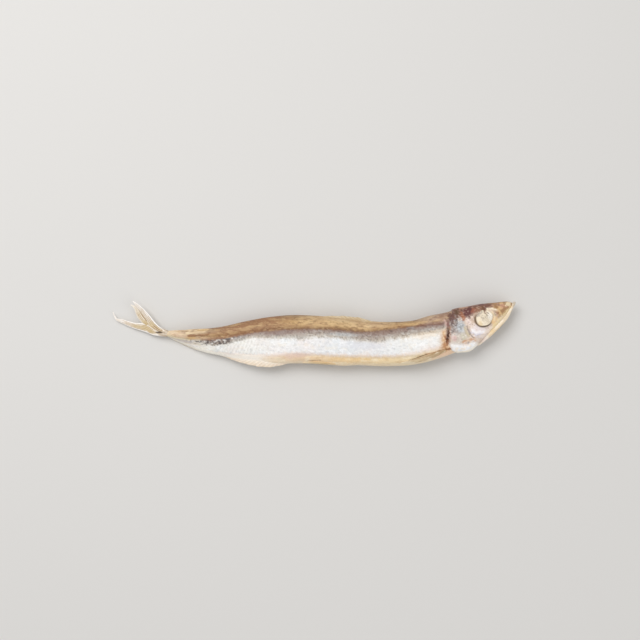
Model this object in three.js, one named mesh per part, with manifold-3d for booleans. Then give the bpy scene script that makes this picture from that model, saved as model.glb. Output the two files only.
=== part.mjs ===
// A dried capelin, lying on its side as it dried. It is one piece, so it is one solid: a body and head lofted
// along a bowed axis, with the lower jaw, the eyes and the dried-down fins fused on.
//
// Millimetres, +Z up. The head points along +X and the back along +Y. The flank that shows faces +Z, and the
// other one rests on the plane z = 0. The origin is the bottom centre of the whole fish.

import * as THREE from "three";
import { mergeVertices } from "three/addons/utils/BufferGeometryUtils.js";
import Module from "manifold-3d";

const wasm = await Module();
wasm.setup();

// Driving dimensions.
const BODY_LENGTH = 148; // along the axis, from the snout to the base of the tail fin
const BODY_DEPTH = 20; // from back to belly at the deepest section
const BODY_THICKNESS = 10.8; // from flank to flank at the thickest section

// Profiles along the fish: pairs of [share of the body length behind the snout, value].
// Back and belly are shares of half the depth, flank is a share of half the thickness.
const BACK = keyed([
  [0, 0.08], [0.0135, 0.2], [0.04, 0.35], [0.09, 0.62], [0.145, 0.81], [0.18, 0.88], [0.24, 0.97],
  [0.3, 0.9], [0.44, 0.95], [0.54, 1.02], [0.64, 1.06], [0.7, 1.01], [0.77, 0.87], [0.855, 0.56],
  [0.93, 0.36], [1, 0.11],
]);
const BELLY = keyed([
  [0, 0.06], [0.0135, 0.14], [0.04, 0.38], [0.09, 0.62], [0.115, 0.75], [0.145, 0.91], [0.165, 0.95],
  [0.2, 0.8], [0.235, 0.83], [0.33, 0.91], [0.44, 0.9], [0.5, 0.98], [0.57, 0.95], [0.7, 0.92], [0.77, 0.77],
  [0.855, 0.56], [0.93, 0.5], [1, 0.25],
]);
const FLANK = keyed([
  [0, 0.12], [0.01, 0.26], [0.04, 0.5], [0.09, 0.78], [0.14, 0.92], [0.2, 1], [0.28, 0.94],
  [0.4, 0.96], [0.55, 1], [0.7, 0.9], [0.81, 0.66], [0.9, 0.42], [0.96, 0.3], [1, 0.24],
]);
// Height of the axis above the surface that the fish lies on, as a share of half the thickness.
const LIFT = keyed([
  [0, 0.8], [0.08, 0.91], [0.18, 0.91], [0.3, 0.89], [0.5, 0.92], [0.65, 0.88], [0.8, 0.75], [0.9, 0.6],
  [1, 0.46],
]);
// Heading of the axis in degrees, positive towards the back, and its twist, positive with the back turned up.
const HEADING = keyed([
  [0, 26.5], [0.16, 25], [0.24, 14], [0.345, 3], [0.46, -4], [0.59, -1], [0.71, 3], [0.83, -4.5],
  [1, -12],
]);
const TWIST = keyed([[0, 0], [0.74, 0], [0.84, 12], [0.9, 28], [0.95, 48], [1, 60]]);

// Shape of a section.
const FLANK_FULLNESS = 0.85; // under 1 makes the flanks flatter than an ellipse
const BACK_HEAVINESS = 0.12; // how much thicker a section is towards the back than towards the belly

// Plates of the head, in millimetres. The gill cover reaches `rear` behind the snout at the height `lowest`
// over the axis, and its edge rounds forwards above and below. Each plate stands out by `rise` at its rear
// edge, which is `edge` wide, and fades into the head over `length`.
const GILL_COVER = { rear: 31, lowest: -4, roundness: 0.045, rise: 0.7, edge: 0.9, length: 9 };
const CHEEK = { rear: 21.4, rise: 0.35, edge: 1, length: 7 };

// Furrows of the trunk. Heights and widths are shares of the section, from -1 at the belly to 1 at the back,
// and they run between two shares of the body length. Depths are millimetres.
const LATERAL_FURROW = { height: 0.42, width: 0.13, depth: 0.5, from: 0.22, to: 0.93 };
const BELLY_CREASE = { height: -0.66, width: 0.08, depth: 0.4, from: 0.26, to: 0.8 };
const TRUNK_FROM = 0.22; // share of the body length where the head ends
const UNEVENNESS = { size: 0.16, waves: 5.3, lean: 2.2 };

// Eyes and lower jaw, in millimetres.
const EYE = { behind: 13.8, radius: 3.5, rise: 0.5, rim: 0.3 };
const JAW = { length: 21, overhang: 0.9, halfWidth: 2.1, halfHeight: 0.85 };

// Fins that dried down on the body. Places are shares of the body length, sizes are millimetres, and leans,
// starts and ends are degrees round the section from the back.
const DORSAL_FIN = { from: 0.41, to: 0.6, height: 1.5, halfThickness: 0.55, lean: 24 };
const ADIPOSE_FIN = { from: 0.87, to: 0.94, height: 0.8, halfThickness: 0.5, lean: 20 };
const ANAL_FIN = { from: 0.645, to: 0.875, height: 1.5, halfThickness: 0.55, lean: 168 };
const PECTORAL_FIN = { from: 0.225, to: 0.335, start: 121, end: 146, halfWidth: 1.7, halfThickness: 0.5 };
const PELVIC_FIN = { from: 0.505, to: 0.605, start: 146, end: 155, halfWidth: 1.2, halfThickness: 0.45 };

// Tail fin, tilted about the line of each lobe, in degrees, and thinning to a share of its base at the tips.
// A lobe runs through points of [behind the trunk's end, towards the back, over the surface, half width].
// The last of the three is the torn inner half of the upper lobe, which splits off at its tip.
const TAIL = { tilt: 20, halfThickness: 0.5, tipThickness: 0.45 };
const TAIL_LOBES = [
  [
    [-4.4, -0.9, 2.7, 0.7], [-0.7, 0.2, 2.5, 0.9], [2.5, 1.5, 2.6, 1.3], [5.3, 3.8, 3, 1.7],
    [6.6, 5.8, 3.4, 1.55], [8.7, 8.7, 4, 1.2], [11, 11.3, 4.7, 0.75], [12.7, 13.1, 5.3, 0.25],
  ],
  [
    [-4.4, -0.9, 2.7, 0.7], [-0.7, -0.7, 2.4, 0.9], [3.6, 0, 2.2, 1.3], [7.9, 2, 1.9, 1.8],
    [12, 2.8, 1.6, 1.3], [14.9, 3.7, 1.4, 1.05], [17.5, 4.7, 1.2, 0.85], [19.7, 5.4, 1.1, 0.5],
    [20.5, 6.9, 1, 0.25], [21, 8.3, 1, 0.2],
  ],
  [
    [-4.4, -0.9, 2.7, 0.7], [2, 0.7, 2.5, 1], [5.6, 2.7, 2.5, 1.3], [8.1, 4.5, 2.7, 1.2],
    [9.7, 6.45, 3, 1.3], [10.7, 8.3, 3.4, 1.15], [11.6, 10.1, 3.9, 0.8], [13.6, 11.6, 4.4, 0.2],
  ],
];

// Facets.
const TRUNK_STATIONS = 48;
const HEAD_STATIONS = 28;
const SECTION_SIDES = 40;
const STRIP_STATIONS = 14;
const TAIL_STATIONS = 22;
const STRIP_SIDES = 8;
const EYE_SIDES = 24;
const AXIS_STEPS = 400;

const SKIN = new THREE.MeshStandardMaterial({ color: 0xd8c8ac, roughness: 0.55, metalness: 0 });

// A smooth curve through [place, value] pairs that never swings past them.
function keyed(pairs) {
  const last = pairs.length - 1;
  const gap = (i) => pairs[i + 1][0] - pairs[i][0];
  const rise = (i) => (pairs[i + 1][1] - pairs[i][1]) / gap(i);
  const slopes = pairs.map((_, i) => {
    if (i === 0) return rise(0);
    if (i === last) return rise(last - 1);
    const turns = rise(i - 1) * rise(i) <= 0;
    return turns ? 0 : (2 * rise(i - 1) * rise(i)) / (rise(i - 1) + rise(i));
  });
  return (place) => {
    const at = THREE.MathUtils.clamp(place, pairs[0][0], pairs[last][0]);
    const next = pairs.findIndex((pair, i) => i > 0 && at <= pair[0]);
    const i = next - 1;
    const t = (at - pairs[i][0]) / gap(i);
    const later = t * t * (3 - 2 * t);
    const bow = gap(i) * t * (1 - t) * (slopes[i] * (1 - t) - slopes[next] * t);
    return pairs[i][1] * (1 - later) + pairs[next][1] * later + bow;
  };
}

function radians(degrees) {
  return THREE.MathUtils.degToRad(degrees);
}

// 0 before `from`, 1 after `to`, and smooth between them.
function ramp(value, from, to) {
  return THREE.MathUtils.smoothstep(value, from, to);
}

// A bump of height 1 round `centre`.
function bump(value, centre, width) {
  return Math.exp(-(((value - centre) / width) ** 2));
}

// 1 between two places along the fish, fading out within `fade` of each.
function within(place, from, to, fade = 0.04) {
  return ramp(place, from, from + fade) * (1 - ramp(place, to - fade, to));
}

// Points of the axis from the snout backwards, found by following its heading in small steps.
const axisPoints = [new THREE.Vector3()];
for (let i = 0; i < AXIS_STEPS; i += 1) {
  const heading = radians(HEADING((i + 0.5) / AXIS_STEPS));
  const step = new THREE.Vector3(Math.cos(heading), Math.sin(heading), 0);
  axisPoints.push(axisPoints[i].clone().addScaledVector(step, -BODY_LENGTH / AXIS_STEPS));
}

// The section at a place along the fish: its middle, its half sizes and its own axes.
function sectionAt(place) {
  const index = Math.min(Math.floor(place * AXIS_STEPS), AXIS_STEPS - 1);
  const middle = axisPoints[index].clone().lerp(axisPoints[index + 1], place * AXIS_STEPS - index);
  middle.z = (LIFT(place) * BODY_THICKNESS) / 2;
  const heading = radians(HEADING(place));
  const forward = new THREE.Vector3(Math.cos(heading), Math.sin(heading), 0);
  const back = new THREE.Vector3(-Math.sin(heading), Math.cos(heading), 0);
  back.applyAxisAngle(forward, radians(TWIST(place)));
  const flank = forward.clone().cross(back);
  return {
    middle, forward, back, flank,
    backDepth: (BACK(place) * BODY_DEPTH) / 2,
    bellyDepth: (BELLY(place) * BODY_DEPTH) / 2,
    halfThickness: (FLANK(place) * BODY_THICKNESS) / 2,
  };
}

// How far the skin stands out at a place along the fish and a height in its section.
function relief(place, share, height) {
  const behind = place * BODY_LENGTH;
  const gillEdge = GILL_COVER.rear - GILL_COVER.roundness * (height - GILL_COVER.lowest) ** 2;
  const waves = Math.sin(UNEVENNESS.waves * 2 * Math.PI * place + UNEVENNESS.lean * share);
  return (
    plate(GILL_COVER, gillEdge - behind) +
    plate(CHEEK, CHEEK.rear - behind) -
    furrow(LATERAL_FURROW, place, share) -
    furrow(BELLY_CREASE, place, share) +
    UNEVENNESS.size * waves * within(place, TRUNK_FROM, 1)
  );
}

// How far a plate of the head stands out at a distance forwards of its rear edge.
function plate({ rise, edge, length }, forward) {
  return rise * ramp(forward, 0, edge) * (1 - ramp(forward, 2 * edge, length));
}

function furrow({ height, width, depth, from, to }, place, share) {
  return depth * bump(share, height, width) * within(place, from, to);
}

// A point of the skin and the way out of it. Turn runs in degrees from the back, over the flank that shows.
function skinAt(place, turn) {
  const section = sectionAt(place);
  const share = Math.cos(radians(turn));
  const side = Math.sin(radians(turn));
  const depth = share > 0 ? section.backDepth : section.bellyDepth;
  const fullness = Math.sign(side) * Math.abs(side) ** FLANK_FULLNESS * (1 + BACK_HEAVINESS * share);
  const out = section.back
    .clone()
    .multiplyScalar(share / depth)
    .addScaledVector(section.flank, side / section.halfThickness)
    .normalize();
  const point = section.middle
    .clone()
    .addScaledVector(section.back, depth * share)
    .addScaledVector(section.flank, section.halfThickness * fullness)
    .addScaledVector(out, relief(place, share, depth * share) * Math.min(1, 4 * Math.abs(side)));
  point.z = Math.max(point.z, 0);
  return { point, out, section };
}

// A closed surface through rings of points that all have the same number of points.
function loft(rings) {
  const sides = rings[0].length;
  const points = rings.flat();
  const triangles = [];
  for (let i = 0; i < rings.length - 1; i += 1) {
    for (let j = 0; j < sides; j += 1) {
      const here = i * sides;
      const next = here + sides;
      const k = (j + 1) % sides;
      triangles.push(here + j, here + k, next + j, here + k, next + k, next + j);
    }
  }
  const lastRing = (rings.length - 1) * sides;
  const firstEnd = points.push(middleOf(rings[0])) - 1;
  const lastEnd = points.push(middleOf(rings.at(-1))) - 1;
  for (let j = 0; j < sides; j += 1) {
    const k = (j + 1) % sides;
    triangles.push(firstEnd, k, j, lastEnd, lastRing + j, lastRing + k);
  }
  return new THREE.BufferGeometry().setFromPoints(points).setIndex(triangles);
}

function middleOf(points) {
  const sum = points.reduce((total, point) => total.add(point), new THREE.Vector3());
  return sum.divideScalar(points.length);
}

// A thin strip with round edges. Each station has a middle, a half width along `across` and a half thickness.
function strip(stations) {
  const rings = stations.map((station, i) => {
    const before = stations[Math.max(i - 1, 0)].middle;
    const after = stations[Math.min(i + 1, stations.length - 1)].middle;
    const along = after.clone().sub(before).normalize();
    const through = along.clone().cross(station.across).normalize();
    return Array.from({ length: STRIP_SIDES }, (_, j) => {
      const angle = (2 * Math.PI * j) / STRIP_SIDES;
      return station.middle
        .clone()
        .addScaledVector(station.across, station.halfWidth * Math.cos(angle))
        .addScaledVector(through, station.halfThickness * Math.sin(angle));
    });
  });
  return loft(rings);
}

function stripStations(make, count = STRIP_STATIONS) {
  return Array.from({ length: count }, (_, i) => make(i / (count - 1)));
}

function bodyAndHead() {
  const trunk = Array.from({ length: TRUNK_STATIONS }, (_, i) => 1 - (i / TRUNK_STATIONS) * (1 - TRUNK_FROM));
  const head = Array.from({ length: HEAD_STATIONS + 1 }, (_, i) => TRUNK_FROM * (1 - i / HEAD_STATIONS));
  const rings = [...trunk, ...head].map((place) =>
    Array.from({ length: SECTION_SIDES }, (_, j) => skinAt(place, (360 * j) / SECTION_SIDES).point),
  );
  return loft(rings);
}

// The lower jaw runs along the underside of the head, sinks into it behind and passes the snout a little.
function lowerJaw() {
  return strip(
    stripStations((t) => {
      const behind = JAW.length * (1 - t);
      const section = sectionAt(behind / BODY_LENGTH);
      const taper = (0.35 + 0.65 * Math.sqrt(1 - t * t)) * (0.3 + 0.7 * ramp(t, 0, 0.35));
      const drop = section.bellyDepth + JAW.halfHeight * (1.7 * Math.sin(Math.PI * Math.sqrt(t)) ** 0.5 - 1);
      const middle = section.middle
        .clone()
        .addScaledVector(section.back, -drop)
        .addScaledVector(section.forward, JAW.overhang * t);
      const halfWidth = JAW.halfWidth * taper;
      return { middle, across: section.flank, halfWidth, halfThickness: JAW.halfHeight * taper };
    }),
  );
}

// A shallow dome in a raised ring, on the flank at `turn`.
function eye(turn) {
  const { point, out } = skinAt(EYE.behind / BODY_LENGTH, turn);
  const profile = [
    [0, -EYE.radius / 2], [0.9, -EYE.radius / 2], [1, 0], [0.96, EYE.rim], [0.84, EYE.rim], [0.78, 0.05],
    [0.6, EYE.rise * 0.7], [0.3, EYE.rise * 0.94], [0, EYE.rise],
  ].map(([share, height]) => new THREE.Vector2(share * EYE.radius, height));
  const dome = new THREE.LatheGeometry(profile, EYE_SIDES);
  const turned = new THREE.Quaternion().setFromUnitVectors(new THREE.Vector3(0, 1, 0), out);
  return dome.applyQuaternion(turned).translate(point.x, point.y, point.z);
}

// A low fin on the edge of the body, folded over towards the flank that shows.
function edgeFin({ from, to, height, halfThickness, lean }) {
  return strip(
    stripStations((t) => {
      const place = to + (from - to) * t;
      const { point, out } = skinAt(place, lean);
      const rise = height * Math.sin(Math.PI * t ** 1.6) ** 0.8;
      const middle = point.clone().addScaledVector(out, rise * 0.1);
      return { middle, across: out, halfWidth: 0.9 * rise + 0.2, halfThickness };
    }),
  );
}

// A paired fin that lies flat on the skin. Side is 1 on the flank that shows and -1 on the other one.
function pairedFin({ from, to, start, end, halfWidth, halfThickness }, side) {
  return strip(
    stripStations((t) => {
      const { point, out, section } = skinAt(to + (from - to) * t, side * (end + (start - end) * t));
      const across = out.clone().cross(section.forward).normalize();
      const width = halfWidth * Math.sin(Math.PI * (0.06 + 0.86 * t)) ** 0.7;
      return { middle: point, across, halfWidth: width, halfThickness };
    }),
  );
}

// One lobe of the tail fin, from inside the end of the trunk out to its tip.
function tailLobe(route) {
  const base = sectionAt(1).middle;
  const up = new THREE.Vector3(0, 0, 1);
  const line = new THREE.CatmullRomCurve3(
    route.map(([behind, over, height]) => new THREE.Vector3(base.x - behind, base.y + over, height)),
  );
  const widthAt = keyed(route.map(([, , , halfWidth], i) => [i / (route.length - 1), halfWidth]));
  return strip(
    stripStations((t) => {
      const along = line.getTangent(t);
      const across = along.clone().cross(up).normalize().applyAxisAngle(along, radians(-TAIL.tilt));
      const halfThickness = TAIL.halfThickness * THREE.MathUtils.lerp(1, TAIL.tipThickness, t);
      return { middle: line.getPoint(t), across, halfWidth: widthAt(t), halfThickness };
    }, TAIL_STATIONS),
  );
}

function solidOf(geometry) {
  const bare = geometry.clone().deleteAttribute("normal").deleteAttribute("uv");
  const merged = mergeVertices(bare, 1e-4);
  return new wasm.Manifold(
    new wasm.Mesh({
      numProp: 3,
      vertProperties: merged.attributes.position.array,
      triVerts: Uint32Array.from(merged.index.array),
    }),
  );
}

function geometryOf(solid) {
  const mesh = solid.getMesh();
  return new THREE.BufferGeometry()
    .setAttribute("position", new THREE.BufferAttribute(mesh.vertProperties, mesh.numProp))
    .setIndex(new THREE.BufferAttribute(mesh.triVerts, 1));
}

function capelin() {
  const pieces = [
    bodyAndHead(),
    lowerJaw(),
    eye(90),
    eye(-90),
    edgeFin(DORSAL_FIN),
    edgeFin(ADIPOSE_FIN),
    edgeFin(ANAL_FIN),
    ...[1, -1].flatMap((side) => [pairedFin(PECTORAL_FIN, side), pairedFin(PELVIC_FIN, side)]),
    ...TAIL_LOBES.map(tailLobe),
  ];
  const fused = pieces.map(solidOf).reduce((whole, piece) => whole.add(piece));
  const geometry = geometryOf(fused);
  geometry.computeBoundingBox();
  const { min, max } = geometry.boundingBox;
  geometry.translate(-(min.x + max.x) / 2, -(min.y + max.y) / 2, -min.z);
  const mesh = new THREE.Mesh(geometry, SKIN);
  mesh.name = "capelin";
  return mesh;
}

const fish = new THREE.Group();
fish.add(capelin());

export default fish;
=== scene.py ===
"""A dried capelin lying on its side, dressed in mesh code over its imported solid."""

import itertools
from types import SimpleNamespace

import bpy
import numpy as np
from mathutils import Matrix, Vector


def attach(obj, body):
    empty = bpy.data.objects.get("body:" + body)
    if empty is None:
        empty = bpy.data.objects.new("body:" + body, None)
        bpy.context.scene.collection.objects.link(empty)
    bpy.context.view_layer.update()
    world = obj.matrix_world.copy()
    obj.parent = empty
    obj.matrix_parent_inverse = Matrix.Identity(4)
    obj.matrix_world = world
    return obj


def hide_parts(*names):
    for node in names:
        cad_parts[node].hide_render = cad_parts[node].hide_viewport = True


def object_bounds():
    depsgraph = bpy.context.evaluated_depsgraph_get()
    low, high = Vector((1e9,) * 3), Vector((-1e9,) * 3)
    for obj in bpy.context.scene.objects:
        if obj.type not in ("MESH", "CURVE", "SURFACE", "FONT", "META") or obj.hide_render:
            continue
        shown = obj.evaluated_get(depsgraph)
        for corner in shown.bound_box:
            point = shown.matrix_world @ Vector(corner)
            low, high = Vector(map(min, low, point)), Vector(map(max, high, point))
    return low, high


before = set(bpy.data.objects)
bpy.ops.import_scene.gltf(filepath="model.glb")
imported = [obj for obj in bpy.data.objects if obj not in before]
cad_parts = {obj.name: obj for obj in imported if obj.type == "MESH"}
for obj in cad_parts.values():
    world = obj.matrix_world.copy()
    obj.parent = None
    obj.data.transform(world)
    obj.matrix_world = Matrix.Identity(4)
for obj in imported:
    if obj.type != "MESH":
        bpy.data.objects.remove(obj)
CAD_LOW, CAD_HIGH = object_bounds()
MM = 0.001

# Sizes of the solid, in millimetres. The snout is the start of the fish's axis.
BODY_LENGTH = 148.0
BODY_DEPTH = 20.0
BODY_THICKNESS = 10.8
SNOUT_INSIDE_BOX = (0.564, 1.189)  # from the box's front side, and from its side at the back


def keyed(*pairs):
    """A smooth curve through (place, value) pairs that never swings past them."""
    place, value = np.array(pairs, float).T
    rise = np.diff(value) / np.diff(place)
    slope = np.concatenate([rise[:1], np.zeros(len(rise) - 1), rise[-1:]])
    same_way = rise[:-1] * rise[1:] > 0
    total = np.where(same_way, rise[:-1] + rise[1:], 1)
    slope[1:-1] = np.where(same_way, 2 * rise[:-1] * rise[1:] / total, 0)

    def curve(at):
        at = np.clip(at, place[0], place[-1])
        i = np.clip(np.searchsorted(place, at, side="right") - 1, 0, len(place) - 2)
        gap = place[i + 1] - place[i]
        t = (at - place[i]) / gap
        later = t * t * (3 - 2 * t)
        bow = gap * t * (1 - t) * (slope[i] * (1 - t) - slope[i + 1] * t)
        return value[i] * (1 - later) + value[i + 1] * later + bow

    return curve


# Profiles along the fish, by share of the body length: shares of half its depth or thickness, and degrees.
BACK = keyed(
    (0, 0.08), (0.0135, 0.2), (0.04, 0.35), (0.09, 0.62), (0.145, 0.81), (0.18, 0.88), (0.24, 0.97),
    (0.3, 0.9), (0.44, 0.95), (0.54, 1.02), (0.64, 1.06), (0.7, 1.01), (0.77, 0.87), (0.855, 0.56),
    (0.93, 0.36), (1, 0.11),
)
BELLY = keyed(
    (0, 0.06), (0.0135, 0.14), (0.04, 0.38), (0.09, 0.62), (0.115, 0.75), (0.145, 0.91),
    (0.165, 0.95), (0.2, 0.8), (0.235, 0.83), (0.33, 0.91), (0.44, 0.9), (0.5, 0.98), (0.57, 0.95),
    (0.7, 0.92), (0.77, 0.77), (0.855, 0.56), (0.93, 0.5), (1, 0.25),
)
FLANK = keyed(
    (0, 0.12), (0.01, 0.26), (0.04, 0.5), (0.09, 0.78), (0.14, 0.92), (0.2, 1), (0.28, 0.94),
    (0.4, 0.96), (0.55, 1), (0.7, 0.9), (0.81, 0.66), (0.9, 0.42), (0.96, 0.3), (1, 0.24),
)
LIFT = keyed(
    (0, 0.8), (0.08, 0.91), (0.18, 0.91), (0.3, 0.89), (0.5, 0.92), (0.65, 0.88), (0.8, 0.75),
    (0.9, 0.6), (1, 0.46),
)
HEADING = keyed(
    (0, 26.5), (0.16, 25), (0.24, 14), (0.345, 3), (0.46, -4), (0.59, -1), (0.71, 3), (0.83, -4.5),
    (1, -12),
)
TWIST = keyed((0, 0), (0.74, 0), (0.84, 12), (0.9, 28), (0.95, 48), (1, 60))
FLANK_FULLNESS = 0.85
BACK_HEAVINESS = 0.12
AXIS_STEPS = 400
SNOUT_ROUNDING = 1.2  # millimetres
SNOUT_BLUNTNESS = 0.03  # share of the section left at its tip
STUMP_ROUNDING = 0.045  # share of the length at the trunk's end
STUMP_FALL = 0.96

# Marks of the head and the breast, as (millimetres behind the snout, millimetres over the axis).
GILL = SimpleNamespace(rear=31.0, lowest=-4.0, roundness=0.045, corner=-6.0, corner_roundness=0.3)
EYE_AT = (13.8, 0.15)
EYE_RADII = (3.75, 3.35)
CHEEK_REAR = 21.6
GILL_SLIT = [(29.4, 2.2), (30.1, 0.5), (30.6, -0.9), (31.2, -2.2)]
PREOPERCLE = [(20.9, 2.4), (21.7, 0.4), (21.8, -1.6), (21.8, -3.4), (21.3, -5.2), (18.6, -6.8)]
MAXILLA = [(1.5, -0.6), (6.0, -2.4), (10.0, -4.2), (14.5, -5.9), (16.5, -6.2)]
BROW = [(8.6, 2.9), (10.6, 4.0), (13.0, 4.6), (15.6, 4.2)]
SWIRL = [(20.6, -2.8), (19.6, -4.4), (17.8, -4.7), (16.2, -5.7)]
LOWER_PLATE = keyed((20, -8.2), (21.4, -7.3), (25.4, -6.3), (27.8, -5.0), (30.6, -3.5), (32, -2.9))
BREAST_FIN_LINE = [(31.2, -5.6), (35.4, -5.3), (40.6, -5.4), (46.8, -7.2)]

# Edges of the colour bands along the trunk, in millimetres over the axis. The belly's is a share of depth.
TAN_EDGE = keyed(
    (0.19, 5.2), (0.213, 5.6), (0.26, 6.3), (0.32, 6.7), (0.38, 5.9), (0.44, 4.9), (0.557, 5.0),
    (0.62, 4.8), (0.713, 4.5), (0.775, 3.4), (0.83, 1.9), (0.868, 1.0), (0.9, 0.7), (0.96, 0.5),
    (1, 0.3),
)
GREY_EDGE = keyed(
    (0.19, 2.6), (0.242, 2.6), (0.293, 2.8), (0.352, 2.2), (0.409, 1.2), (0.465, 0.9), (0.52, 1.4),
    (0.576, 1.7), (0.631, 0.9), (0.686, 1.1), (0.742, 2.0), (0.784, 1.0), (0.826, -0.5),
    (0.853, -1.2), (0.88, -1.4), (1, -0.8),
)
CREAM_BELLY = keyed(
    (0.2, -0.5), (0.26, -0.46), (0.34, -0.54), (0.5, -0.56), (0.56, -0.6), (0.66, -0.6),
    (0.76, -0.66), (0.9, -0.8),
)

# Points of the skin: along the head, along the trunk and round the section.
HEAD_SHARE = 0.225
HEAD_STATIONS = 150
TRUNK_STATIONS = 310
SECTION_SIDES = 180

# Numbers of the hash behind the noise.
HASH_START = 374761393
HASH_PRIMES = (73856093, 19349663, 83492791)
HASH_MIX = 1274126177
HASH_BITS = 0xFFFFFFFF


def smooth(value, start, end):
    """0 before start, 1 after end, and smooth between."""
    t = np.clip((value - start) / (end - start), 0, 1)
    return t * t * (3 - 2 * t)


def fall(value, start, end):
    """1 before start, 0 after end, and smooth between."""
    return 1 - smooth(value, start, end)


def bump(value, centre, width):
    return np.exp(-(((value - centre) / width) ** 2))


def within(value, start, end, fade):
    return smooth(value, start, start + fade) * fall(value, end - fade, end)


def noise(points, size, seed):
    """Smooth seeded noise from -1 to 1, with features of about the given size."""
    scaled = points / size + 0.37 * seed
    cell = np.floor(scaled).astype(np.int64)
    part = scaled - cell
    ease = part * part * (3 - 2 * part)
    total = 0
    for corner in itertools.product((0, 1), repeat=len(HASH_PRIMES)):
        at = cell + np.array(corner)
        key = np.full(at.shape[:-1], HASH_START * (seed + 1), np.int64)
        for axis, prime in enumerate(HASH_PRIMES):
            key = key ^ (at[..., axis] * prime)
        key = (key ^ (key >> 13)) & HASH_BITS
        key = (key * HASH_MIX) & HASH_BITS
        value = ((key ^ (key >> 16)) & 0xFFFF) / 32767.5 - 1
        total = total + value * np.prod(np.where(corner, ease, 1 - ease), axis=-1)
    return total


def layered_noise(points, size, seed, layers=3):
    return sum(noise(points, size / 2**i, seed + i) / 2**i for i in range(layers)) / (2 - 2 ** (1 - layers))


axis_headings = np.radians(HEADING((np.arange(AXIS_STEPS) + 0.5) / AXIS_STEPS))
axis_steps = np.stack([np.cos(axis_headings), np.sin(axis_headings)], -1) * BODY_LENGTH / AXIS_STEPS
SNOUT = np.array(CAD_HIGH)[:2] / MM - SNOUT_INSIDE_BOX
AXIS = np.vstack([SNOUT, SNOUT - np.cumsum(axis_steps, axis=0)])


def times(vectors, amounts):
    return vectors * amounts[..., None]


def unit(vectors):
    return vectors / np.linalg.norm(vectors, axis=-1, keepdims=True)


def section(place):
    """Middle, own directions and half sizes of the sections at these places."""
    heading, twist = np.radians(HEADING(place)), np.radians(TWIST(place))
    zero, one = np.zeros_like(place), np.ones_like(place)
    level = np.stack([-np.sin(heading), np.cos(heading), zero], -1)
    up = np.stack([zero, zero, one], -1)
    shares = np.linspace(0, 1, AXIS_STEPS + 1)
    middle = [np.interp(place, shares, values) for values in AXIS.T]
    return SimpleNamespace(
        middle=np.stack([*middle, LIFT(place) * BODY_THICKNESS / 2], -1),
        forward=np.stack([np.cos(heading), np.sin(heading), zero], -1),
        back=times(level, np.cos(twist)) + times(up, np.sin(twist)),
        flank=times(up, np.cos(twist)) - times(level, np.sin(twist)),
        back_depth=BACK(place) * BODY_DEPTH / 2,
        belly_depth=BELLY(place) * BODY_DEPTH / 2,
        half_thickness=FLANK(place) * BODY_THICKNESS / 2,
    )


def rounded_ends(place):
    """Share of the section left where the snout and the trunk's end round off."""
    snout = np.sqrt(1 - (1 - np.clip(place * BODY_LENGTH / SNOUT_ROUNDING, 0, 1)) ** 2)
    stump = np.clip((place - 1 + STUMP_ROUNDING) / STUMP_ROUNDING, 0, 1)
    blunt = snout * (1 - SNOUT_BLUNTNESS) + SNOUT_BLUNTNESS
    return blunt * np.sqrt(1 - (STUMP_FALL * stump) ** 2)


def bare_skin(place, turn):
    """Points of the skin without its relief, the ways out, and where each lies."""
    place, turn = np.broadcast_arrays(place, turn)
    s = section(place)
    share, side = np.cos(turn), np.sin(turn)
    depth = np.where(share > 0, s.back_depth, s.belly_depth)
    fullness = np.sign(side) * np.abs(side) ** FLANK_FULLNESS * (1 + BACK_HEAVINESS * share)
    left = rounded_ends(place)
    out = unit(times(s.back, share / depth) + times(s.flank, side / s.half_thickness))
    across = times(s.back, depth * share * left)
    points = s.middle + across + times(s.flank, s.half_thickness * fullness * left)
    spot = SimpleNamespace(
        place=place, behind=place * BODY_LENGTH, height=depth * share,
        share=share, side=side, depth=depth,
    )
    return points, out, spot


def gill_edge(height):
    """How far behind the snout the gill cover ends at a height over the axis."""
    curve = GILL.roundness * (height - GILL.lowest) ** 2
    corner = GILL.corner_roundness * np.maximum(GILL.corner - height, 0) ** 2
    return GILL.rear - curve - corner


def from_line(spot, route):
    """Distance in millimetres from a line through (behind, height) points."""
    here = np.stack([spot.behind, spot.height], -1)
    nearest = np.full(here.shape[:-1], 1e9)
    route = np.array(route, float)
    for start, way in zip(route, np.diff(route, axis=0)):
        t = np.clip(((here - start) @ way) / (way @ way), 0, 1)
        nearest = np.minimum(nearest, np.linalg.norm(here - start - t[..., None] * way, axis=-1))
    return nearest


def shifted(route, up):
    return [(behind, height + up) for behind, height in route]


def eye_gap(spot):
    """Distance from the middle of the eye, 1 at its edge."""
    return np.hypot((spot.behind - EYE_AT[0]) / EYE_RADII[0], (spot.height - EYE_AT[1]) / EYE_RADII[1])


# Low relief of the skin in millimetres, and the ridges and creases of the head as (route, rise, half width).
HEAD_RELIEF = dict(cover=0.7, slit=-0.42, cheek=0.4, plate=-0.15, orbit=-0.3, ribs=0.06)
HEAD_RIDGES = (
    (PREOPERCLE, -0.16, 0.4),
    (MAXILLA, 0.12, 0.55),
    (BROW, 0.3, 0.7),
    (SWIRL, 0.18, 0.5),
    (shifted(SWIRL, -0.9), -0.12, 0.4),
)
TRUNK_RELIEF = dict(waves=0.16, wrinkles=0.1, dents=0.22, furrow=-0.4, crease=-0.25, hollow=-0.15)
FINE_RELIEF = 0.04
RELIEF_FADE = 0.25  # share of the thickness over which it fades towards the ridge and the keel


def raised(relief, **forms):
    """Forms from -1 to 1 added up, each by its own rise."""
    return sum(relief[name] * form for name, form in forms.items())


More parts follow.
